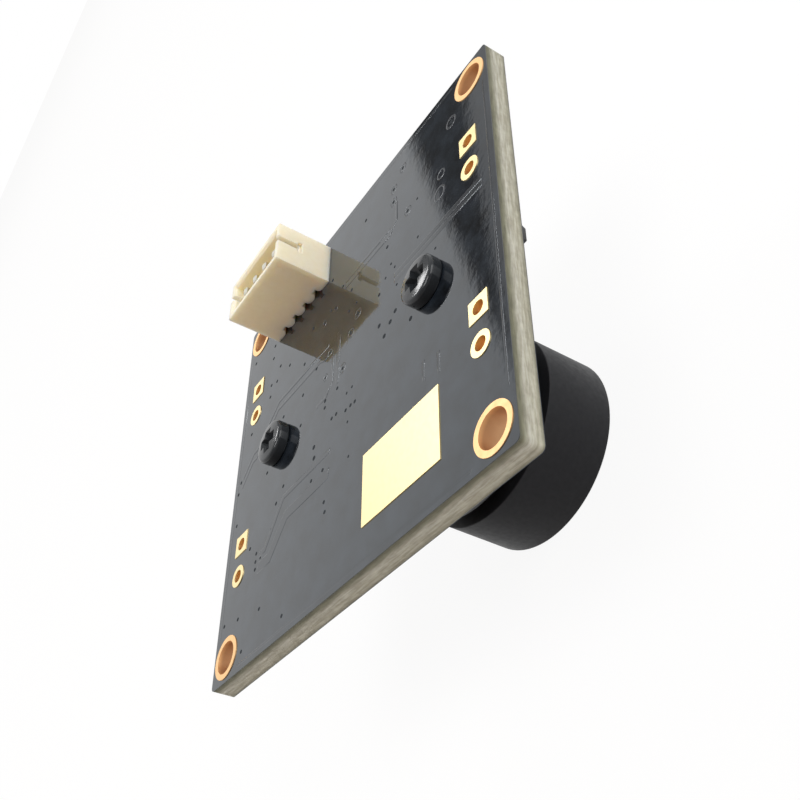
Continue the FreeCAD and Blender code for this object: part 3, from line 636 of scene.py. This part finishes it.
# %% Cross recess of the screw
wing_length, wing_width, wing_height, wing_middle, wing_taper = 2.05, 0.86, 0.6, 0.76, 0.6
recess_wings = []
for turn in (0, 90):
    only(None)
    bpy.ops.mesh.primitive_cube_add(size=1, location=(0, 0, 0))
    wing = bpy.context.object
    bpy.ops.object.mode_set(mode="EDIT")
    bpy.ops.mesh.select_all(action="SELECT")
    bpy.ops.transform.resize(value=(wing_length, wing_width, wing_height), center_override=(0, 0, 0))
    bpy.ops.transform.translate(value=(0, 0, wing_middle))
    pick(wing, "vertices", lambda point: point.co.z < wing_middle)
    bpy.ops.transform.resize(value=(wing_taper, wing_taper, 1), center_override=(0, 0, 0))
    bpy.ops.mesh.select_all(action="SELECT")
    bpy.ops.transform.rotate(value=math.radians(turn), orient_axis="Z", center_override=(0, 0, 0))
    bpy.ops.object.mode_set(mode="OBJECT")
    recess_wings.append(wing)
for wing in recess_wings:
    apply_modifier(screw, "recess", "BOOLEAN", operation="DIFFERENCE", object=wing, solver="EXACT")
    bpy.data.objects.remove(wing)
sliver = 0.004
bpy.ops.object.mode_set(mode="EDIT")
bpy.ops.mesh.select_all(action="SELECT")
bpy.ops.mesh.remove_doubles(threshold=sliver)
bpy.ops.object.mode_set(mode="OBJECT")
print("recess", wing_length, "mm across")

# %% [markdown]
# ## The second screw
# Both screws are alike, so the second is a copy, and each is moved to its own side of the board.

# %% Both screws in place
second = bpy.data.objects.new("second_screw", screw.data.copy())
bpy.context.scene.collection.objects.link(second)
screw_pitch = 18.0
screw.data.transform(Matrix.Translation((0, screw_pitch / 2, 0)))
second.data.transform(Matrix.Translation((0, -screw_pitch / 2, 0)))
only(screw)
second.select_set(True)
bpy.ops.object.join()
settle(screw, screw_black, smooth_under=35)
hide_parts("holder_screws")

# %% [markdown]
# ## Copper lines under the mask
# Lines are etched from copper foil a thirtieth of a millimetre thick and show as low ridges in the mask.
# They could be painted as a bump, but ridges catch the light from every side, so they are modelled.
# A line is one vertex extruded from bend to bend, pulled up into a wall, and thickened to its width.
# Its top is then inset and lifted out of the board, so the sides slope as gently as mask that has flowed,
# and a second inset keeps the top flat when the sides are smoothed.


# %% Drawing lines of copper
copper_rise, sunk, slope_width, flat_margin = 0.012, 0.02, 0.06, 0.03


def copper_lines(name, lines, width, rise):
    """Low ridges along lines of (x, y) bends in mm, on the back face of the board."""
    piece = start_mesh(name)
    for line in lines:
        start_line((line[0][0], line[0][1], -sunk))
        for (x0, y0), (x1, y1) in zip(line, line[1:]):
            draw_on(x1 - x0, y1 - y0, 0)
    bpy.ops.mesh.select_all(action="SELECT")
    bpy.ops.mesh.extrude_region_move(TRANSFORM_OT_translate={"value": (0, 0, 0.9 * sunk)})
    apply_modifier(piece, "width", "SOLIDIFY", thickness=width, offset=0, use_even_offset=True)
    pick(piece, "polygons", lambda face: True)
    bpy.ops.mesh.normals_make_consistent(inside=False)
    pick(piece, "polygons", lambda face: face.normal.z > 0.9)
    bpy.ops.mesh.inset(thickness=slope_width, depth=rise + 0.1 * sunk)
    bpy.ops.mesh.inset(thickness=flat_margin, depth=0)
    bpy.ops.object.mode_set(mode="OBJECT")
    settle(piece, raised_mask, smooth_under=180)
    return piece


def side_by_side(bends, count, step_x, step_y):
    """The same line drawn again and again, a step further each time."""
    return [[(x + step_x * i, y + step_y * i) for x, y in bends] for i in range(count)]


# %% [markdown]
# ## Lines on the back face
# The bends were read from the photograph, laid flat.
# Signal lines are narrow and supply lines wide, and the fainter ones in the photograph get less height.

# %% Lines on the back face
signal_width, supply_width, pour_width = 0.32, 0.46, 0.9
thin_rise, faint_rise = 0.7 * copper_rise, 0.25 * copper_rise
signal_lines = [[(-10.7, 5.75), (-8.95, 5.75), (-8.15, 4.95), (-8.15, -0.6)], [(-8.72, 5.0), (-8.72, -0.6)]]
signal_lines += [[(-4.32, -2.5), (-4.32, -9.6), (-1.85, -12.6), (-1.85, -13.1), (-0.4, -14.6)]]
signal_lines += [[(-3.42, -2.5), (-3.3, -3.0), (-3.6, -3.6), (-3.6, -9.6), (-1.1, -12.6), (-1.1, -13.1),
                  (0.35, -14.6)]]
signal_lines += [[(-3.2, -1.85), (-0.6, -1.85), (0.3, -2.6), (0.3, -3.8)]]
copper_lines("back_signal_lines", signal_lines, signal_width, copper_rise)
supply_lines = side_by_side([(-3.85, 14.5), (-3.85, 5.5)], 2, 0.52, 0.0)
supply_lines += [[(-4.5, -1.15), (0.2, -1.15)]]
copper_lines("back_supply_lines", supply_lines, supply_width, copper_rise)
thin_lines = [[(5.22, -1.6), (5.22, -7.6), (8.1, -9.75), (8.1, -10.6)]]
copper_lines("back_thin_line", thin_lines, supply_width, thin_rise)
faint_lines = side_by_side([(5.55, 8.5), (7.1, 8.5)], 2, 0.4, 1.4)
copper_lines("back_faint_lines", faint_lines, signal_width, faint_rise)
wide_lines = [[(6.92, -1.6), (6.92, -7.0), (9.1, -9.0), (9.1, -10.6)]]
copper_lines("back_wide_line", wide_lines, pour_width, thin_rise)

# %% [markdown]
# ## Edge of the copper
# The copper stops half a millimetre short of the cut edge, and the mask steps down there.
# A thin line along each side shows this step, where it catches the light.
# The lines stop short of the corners, because the gold rings reach over the step there.

# %% Line along each side of the board
pour_edge, ring_clear = 15.3, 12.3
step_line_width, step_line_rise = 0.24, 0.15 * copper_rise
edge_lines = []
for side in (-pour_edge, pour_edge):
    edge_lines += [[(side, -ring_clear), (side, ring_clear)], [(-ring_clear, side), (ring_clear, side)]]
copper_lines("back_pour_edge", edge_lines, step_line_width, step_line_rise)

# %% [markdown]
# ## Lines on the front face
# The front carries the chips, so short lines run out from their leads.
# They are drawn on the back in the same way and then mirrored through the board.


# %% Mirroring a piece through the board
def through_board(piece, name):
    """The same piece on the front face of the board."""
    twin = bpy.data.objects.new(name, piece.data.copy())
    bpy.context.scene.collection.objects.link(twin)
    flip = Matrix.Translation((0, 0, -board_thickness)) @ Matrix.Scale(-1, 4, (0, 0, 1))
    twin.data.transform(flip)
    twin.data.flip_normals()
    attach(twin, "root")
    print("piece", name, "on the front")


# %% Lines on the front face
lead_pitch = 0.5
front_signal_width, front_supply_width = 0.22, 0.45
lead_places = [-7.85 + lead_pitch * i for i in range(8)]
front_lines = [[(8.4, y), (7.9, y), (7.2, y + 0.35)] for y in lead_places]
front_lines += side_by_side([(14.2, -3.35), (14.5, -3.05), (14.5, 3.3), (14.2, 3.75)], 2, 0.32, 0.0)
front_lines += [[(8.35, y), (7.7, y), (7.2, y - 0.5)] for y in (4.5, 5.77, 7.04, 8.31)]
front_lines += [[(-12.3, y), (-11.2, y), (-10.8, y + 0.3)] for y in (-9.1, -7.6, -6.1, -4.6)]
front_lines += [[(-3.7, 9.4), (-3.1, 9.4), (-2.6, 8.9)], [(-3.7, 10.6), (-2.9, 10.6), (-2.4, 10.1)]]
front_lines += side_by_side([(-11.2, 11.35), (-11.2, 12.3), (-10.0, 13.5)], 2, 0.45, 0.0)
front_lines += side_by_side([(0.4, 12.7), (0.4, 11.9), (1.6, 11.2)], 2, -0.45, 0.0)
front_lines += side_by_side([(9.6, -11.4), (9.6, -12.4), (8.9, -13.1)], 3, 0.9, 0.0)
under_copy = copper_lines("front_signal_lines_master", front_lines, front_signal_width, copper_rise)
through_board(under_copy, "front_signal_lines")
front_supply = [[(-11.5, 2.7), (-11.5, 3.8)], [(-12.3, 2.7), (-12.3, 3.8)]]
front_supply += [[(-9.9, 1.0), (-8.7, 1.0), (-7.5, 2.2)], [(-9.9, 6.2), (-8.4, 6.2), (-7.4, 5.2)]]
front_supply += [[(14.0, 9.3), (14.0, 11.8)], [(11.5, -1.6), (11.5, -2.5)]]
under_supply = copper_lines("front_supply_lines_master", front_supply, front_supply_width, copper_rise)
through_board(under_supply, "front_supply_lines")
through_board(bpy.data.objects["back_pour_edge"], "front_pour_edge")
for master in (under_copy, under_supply):
    bpy.data.objects.remove(master)

# %% [markdown]
# ## Vias
# A via is a small plated hole from face to face, and the mask sinks into it; the shade in the hole is painted
# as a dark dot.
# Round some of them the copper ring stands up under the mask as well.
# All rings are alike but for their size, so one is modelled and copied to every place, and so is one dot.


# %% Copying a small mesh to many places
def repeated(master, name, places):
    """Copies a small mesh to every place (x, y, size), and joins the copies to one piece."""
    twins = []
    for x, y, size in places:
        twin = bpy.data.objects.new(name, master.data.copy())
        bpy.context.scene.collection.objects.link(twin)
        twin.data.transform(Matrix.Translation((x, y, 0)) @ Matrix.Diagonal((size, size, 1, 1)))
        twins.append(twin)
    only(twins[0])
    for twin in twins:
        twin.select_set(True)
    bpy.ops.object.join()
    bpy.data.objects.remove(master)
    twins[0].name = name
    return twins[0]


# %% [markdown]
# ## Places of the vias
# These places were read from the photograph, laid flat, to about a tenth of a millimetre.
# Three sizes are enough. The two covered pads show as larger rings.

# %% Places of the vias
faint, small, large = 0.75, 1.0, 1.25
ringed_vias = [(-12.33, 5.4, small), (-11.05, 5.38, small), (-8.47, 7.04, small), (-13.44, 6.5, small),
               (-12.02, 11.97, large), (-4.18, 1.2, small), (-3.06, 0.37, small), (-0.68, -0.5, small),
               (-3.46, -2.32, faint), (-1.55, -2.78, faint), (-7.23, -1.83, faint), (-7.0, -3.36, faint)]
plain_vias = [(-8.54, 8.14, faint), (-4.92, 8.14, faint), (-7.29, 4.67, small), (-5.27, 5.14, faint),
              (-4.61, 5.57, faint), (-4.52, 4.52, faint), (-3.66, 3.79, small), (-2.81, 5.81, faint),
              (-2.21, 9.91, faint), (-0.68, 5.65, large), (-0.88, 3.85, large), (0.46, 4.45, large),
              (-0.2, 5.1, large), (-12.71, 1.86, small), (-8.56, 5.38, small), (-13.4, 8.5, faint),
              (1.34, 7.29, large), (-3.36, -4.12, small), (-2.26, -5.87, small), (-5.21, -6.0, small),
              (-6.93, -8.38, small), (-2.26, -8.67, small), (-6.8, -10.32, small), (-7.07, -11.25, small),
              (-5.92, -11.25, small), (-9.85, -11.33, small), (-11.1, -11.27, small), (-4.17, -13.93, small),
              (-11.82, -14.62, small), (-0.27, -14.85, small), (0.39, -5.89, small), (-8.05, -9.96, small),
              (0.59, -1.08, small), (0.57, -2.61, small), (1.14, -2.61, small), (2.73, -1.06, small),
              (2.72, -1.61, small), (3.25, 0.12, small), (3.25, 0.7, small), (3.3, 1.2, small),
              (1.83, 0.79, faint), (1.9, 0.16, faint), (4.36, 0.41, faint), (7.15, 0.68, faint),
              (3.61, -3.77, large), (4.53, -3.66, large), (6.23, -2.43, small), (6.2, -3.85, small),
              (8.84, -2.04, small), (9.63, -1.88, small), (4.25, -7.76, small), (5.14, -8.63, small),
              (6.93, -9.01, small), (8.46, -10.29, faint), (7.78, -10.97, small), (8.41, -10.97, small),
              (9.01, -10.94, small), (6.85, -12.06, small), (11.79, -12.82, small), (12.44, -9.74, small),
              (3.54, -14.77, small), (0.65, -15.1, small), (11.4, -14.9, small), (1.5, -10.5, small),
              (0.87, -10.1, small), (-10.62, -2.54, small), (-8.6, -0.95, small), (-7.56, -2.48, faint),
              (-7.9, -5.05, small), (-7.2, 0.25, small), (-5.4, 0.0, faint), (-5.38, 0.95, faint),
              (14.5, -11.8, small), (14.4, -6.5, small)]
covered_pads = [(-6.6, 10.5, 1.4), (-8.19, 10.73, 1.0)]
print("vias", len(ringed_vias) + len(plain_vias), "and covered pads", len(covered_pads))

# %% [markdown]
# ## Rings
# A ring of copper under the mask is a torus pressed almost flat, half sunk into the board.

# %% Rings round vias and covered pads
ring_radius, ring_width, ring_flatness = 0.36, 0.12, 0.13
only(None)
bpy.ops.mesh.primitive_torus_add(major_radius=ring_radius, minor_radius=ring_width / 2,
                                 major_segments=24, minor_segments=8)
bpy.ops.object.mode_set(mode="EDIT")
bpy.ops.mesh.select_all(action="SELECT")
bpy.ops.transform.resize(value=(1, 1, ring_flatness), center_override=(0, 0, 0))
bpy.ops.object.mode_set(mode="OBJECT")
via_rings = repeated(bpy.context.object, "back_via_rings", ringed_vias + covered_pads)
settle(via_rings, raised_mask, smooth_under=180)

# %% [markdown]
# ## Dots of painted shade
# The painted shade at the open end of a via is a thin disc with its edge bevelled, so that its rim catches no
# hard light.
# Vias run from face to face, so rings and dots are mirrored to the front as they are.

# %% Dots of painted shade, and both on the front face
dot_radius, dot_height = 0.14, 0.008
only(None)
bpy.ops.mesh.primitive_cylinder_add(vertices=16, radius=dot_radius, depth=dot_height)
bpy.ops.object.mode_set(mode="EDIT")
bpy.ops.mesh.select_all(action="SELECT")
bpy.ops.mesh.bevel(offset=dot_height / 4, segments=1)
bpy.ops.object.mode_set(mode="OBJECT")
via_shade_dots = repeated(bpy.context.object, "back_via_shade_dots", plain_vias + ringed_vias)
settle(via_shade_dots, via_bore_shade, smooth_under=30)
through_board(via_rings, "front_via_rings")
through_board(via_shade_dots, "front_via_shade_dots")

# %% [markdown]
# ## Floor, backdrop and light
# The photograph has a pure white ground, so floor and world show white to the camera and in reflections.
# The floor keeps a part of its own shading, and with it the object's shadow.
# Seen from below it lets the view through.

# %% Floor
floor_level = cad_box[0][2]
floor_size, glow_part = 2.0, 0.92
only(None)
bpy.ops.mesh.primitive_plane_add(size=floor_size, location=(0, 0, floor_level))
floor = bpy.context.object
floor.name = "studio_floor"
paper = bpy.data.materials.new("white_studio_paper")
paper.use_nodes = True
tree = paper.node_tree
tree.nodes.clear()
path = add(tree, "LightPath").outputs
seen = add(tree, "Math", {0: path["Is Camera Ray"], 1: path["Is Glossy Ray"]}, operation="MAXIMUM").outputs[0]
seen = add(tree, "Math", {0: seen, 1: path["Is Transmission Ray"]}, operation="MAXIMUM").outputs[0]
glow_share = add(tree, "Math", {0: seen, 1: glow_part}, operation="MULTIPLY").outputs[0]
plain = add(tree, "BsdfDiffuse", {"Color": linear("#FAFAFA")}).outputs[0]
glow = add(tree, "Emission", {"Strength": 1.0}).outputs[0]
top = add(tree, "MixShader", {0: glow_share, 1: plain, 2: glow}).outputs[0]
clear = add(tree, "BsdfTransparent").outputs[0]
under = add(tree, "NewGeometry").outputs["Backfacing"]
both = add(tree, "MixShader", {0: under, 1: top, 2: clear}).outputs[0]
add(tree, "OutputMaterial", {"Surface": both})
floor.data.materials.append(paper)
print("floor at", round(floor_level / MM, 2), "mm")

# %% [markdown]
# ## World
# The flat black mask mirrors the room. In the photograph it mirrors white, with one dark slanted band
# near the far edge, where something dark stood behind the object.
# So the world is white with one soft dark stripe. It starts sharply at one slanted plane, is half as dark
# past a second one, and fades out away from its centre.

# %% Dark stripe in a white room
world = bpy.data.worlds.new("white_room")
bpy.context.scene.world = world
world.use_nodes = True
tree = world.node_tree
tree.nodes.clear()
direction = add(tree, "TexCoord").outputs["Generated"]
stripe_inner = Vector((-0.1716, 0.7295, 0.4719))
stripe_outer = Vector((-0.1716, 0.7295, 0.8619))
stripe_centre = Vector((-0.745, -0.51, 0.42)).normalized()
near = add(tree, "VectorMath", {0: direction, 1: stripe_centre}, operation="DOT_PRODUCT").outputs["Value"]
entering = add(tree, "VectorMath", {0: direction, 1: stripe_inner}, operation="DOT_PRODUCT").outputs["Value"]
leaving = add(tree, "VectorMath", {0: direction, 1: stripe_outer}, operation="DOT_PRODUCT").outputs["Value"]
enter_range = {"Value": entering, "From Min": -0.0665, "From Max": -0.0515, "To Min": 0.0, "To Max": 0.9}
leave_range = {"Value": leaving, "From Min": 0.129, "From Max": 0.139, "To Min": 1.0, "To Max": 0.5}
reach_range = {"Value": near, "From Min": 0.86, "From Max": 0.94}
enter = add(tree, "MapRange", enter_range, interpolation_type="SMOOTHSTEP").outputs[0]
leave = add(tree, "MapRange", leave_range, interpolation_type="SMOOTHSTEP").outputs[0]
reach = add(tree, "MapRange", reach_range, interpolation_type="SMOOTHSTEP").outputs[0]
dark = add(tree, "Math", {0: enter, 1: leave}, operation="MULTIPLY").outputs[0]
dark = add(tree, "Math", {0: dark, 1: reach}, operation="MULTIPLY").outputs[0]
print("stripe around", [round(c, 2) for c in stripe_centre])

# %% [markdown]
# ## Darker side of the room
# The side of the room where the photographer stood is darker too, as the black screws and the lens show.
# Only shiny surfaces see the stripe and this side. The light that falls on the object stays even,
# and it is weaker than the white that is seen, so that pale surfaces keep their colour.

# %% What each kind of ray sees
room_side = Vector((0.67, 0.65, 0.36)).normalized()
towards = add(tree, "VectorMath", {0: direction, 1: room_side}, operation="DOT_PRODUCT").outputs["Value"]
room_range = {"Value": towards, "From Min": 0.0, "From Max": 0.6, "To Min": 0.0, "To Max": 0.7}
room_dark = add(tree, "MapRange", room_range, interpolation_type="SMOOTHSTEP").outputs[0]
dark = add(tree, "Math", {0: dark, 1: room_dark}, operation="MAXIMUM").outputs[0]
path = add(tree, "LightPath").outputs
dark = add(tree, "Math", {0: dark, 1: path["Is Glossy Ray"]}, operation="MULTIPLY").outputs[0]
bright = add(tree, "Math", {0: 1.0, 1: dark}, operation="SUBTRACT").outputs[0]
seen = add(tree, "Math", {0: path["Is Camera Ray"], 1: path["Is Glossy Ray"]}, operation="MAXIMUM").outputs[0]
seen = add(tree, "Math", {0: seen, 1: path["Is Transmission Ray"]}, operation="MAXIMUM").outputs[0]
fill_light = 0.4
strength = add(tree, "Mix", {FACTOR: seen, A_NUMBER: fill_light, B_NUMBER: bright}).outputs[MIXED_NUMBER]
print("fill light", fill_light)

# %% [markdown]
# ## Warm fill
# The cut edge and the header are slightly warmer on the side of the bare gold pad,
# so the fill light turns from white to a pale peach along that axis.

# %% Warm fill
sideways = add(tree, "SeparateXYZ", {0: direction}).outputs["X"]
warm_share = add(tree, "MapRange", {"Value": sideways, "From Min": -0.4, "From Max": 0.8}).outputs[0]
fill_colour = blend(tree, warm_share, linear("#FFFFFF"), linear("#FFDDC9"))
colour = blend(tree, seen, fill_colour, linear("#FFFFFF"))
background = add(tree, "Background", {"Color": colour, "Strength": strength}).outputs[0]
add(tree, "OutputWorld", {"Surface": background})
print("world ready")

# %% [markdown]
# ## Lamps
# Two large softboxes light the back face and one side, and a small one gives the screws a bright streak.
# A lamp looks weaker from further away, so each is given by the level of brightness that it should reach.


# %% Lamps
def lamp(name, direction, distance, width, height, level):
    """Area lamp that gives a white surface facing it that level of brightness."""
    data = bpy.data.lights.new(name, "AREA")
    data.shape = "RECTANGLE"
    data.size = width
    data.size_y = height
    data.energy = level * (math.pi * distance) ** 2
    made = bpy.data.objects.new(name, data)
    bpy.context.scene.collection.objects.link(made)
    made.location = Vector(direction).normalized() * distance
    made.rotation_euler = (-made.location).to_track_quat("-Z", "Y").to_euler()
    print("lamp", name, round(data.energy, 3), "W")


lamp_distance = 0.90
lamp("key_softbox", (0.2, 0.3, 0.93), lamp_distance, width=0.48, height=0.48, level=0.55)
lamp("side_softbox", (-0.25, 0.9, 0.35), lamp_distance, width=0.60, height=0.60, level=0.55)
lamp("window_light", (-0.6, -0.45, 0.66), lamp_distance, width=0.26, height=0.10, level=0.16)
